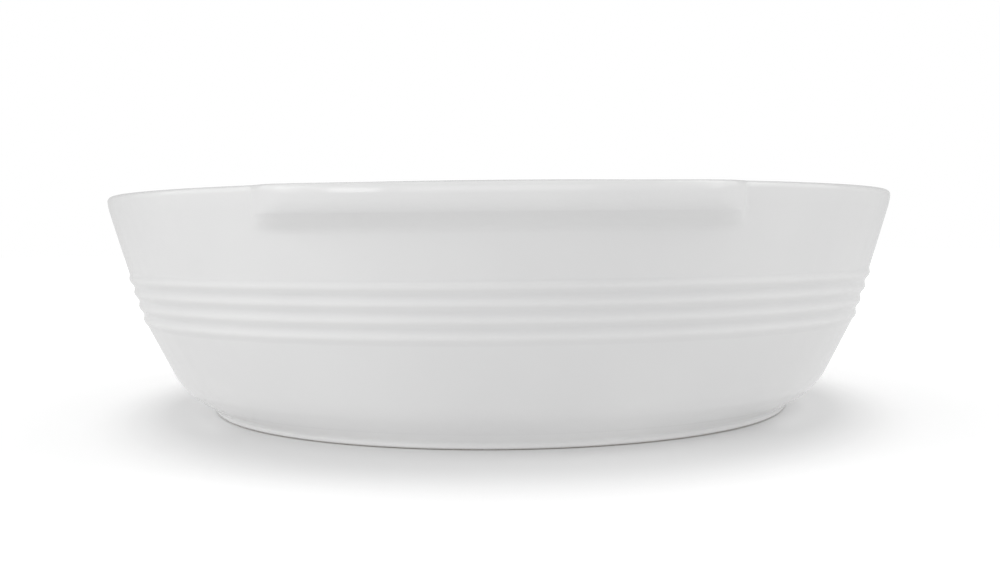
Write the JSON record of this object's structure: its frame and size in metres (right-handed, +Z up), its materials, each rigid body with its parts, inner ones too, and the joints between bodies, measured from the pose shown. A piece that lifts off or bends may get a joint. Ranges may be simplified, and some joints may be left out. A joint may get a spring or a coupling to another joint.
{
  "type": "oval baking dish",
  "caption": "Oval white porcelain baking dish with flared walls, a band of moulded beads round the outside, a lip handle at each end and a low foot ring; holds food in the oven.",
  "frame": {"origin": "on the table, under the middle of the dish", "axes": "+Z up, +Y along the dish's long axis away from the front handle, +X to the right of someone who faces the front handle"},
  "size_m": [0.25, 0.365, 0.067],
  "materials": {
    "white_glaze": "clear gloss glaze over white porcelain",
    "bare_clay": "wiped standing face, matt fired clay with a glazed flank"
  },
  "bodies": {
    "root": {"dish_body": "white_glaze", "foot_ring": "bare_clay", "front_handle": "white_glaze", "rear_handle": "white_glaze"}
  },
  "joints": []
}
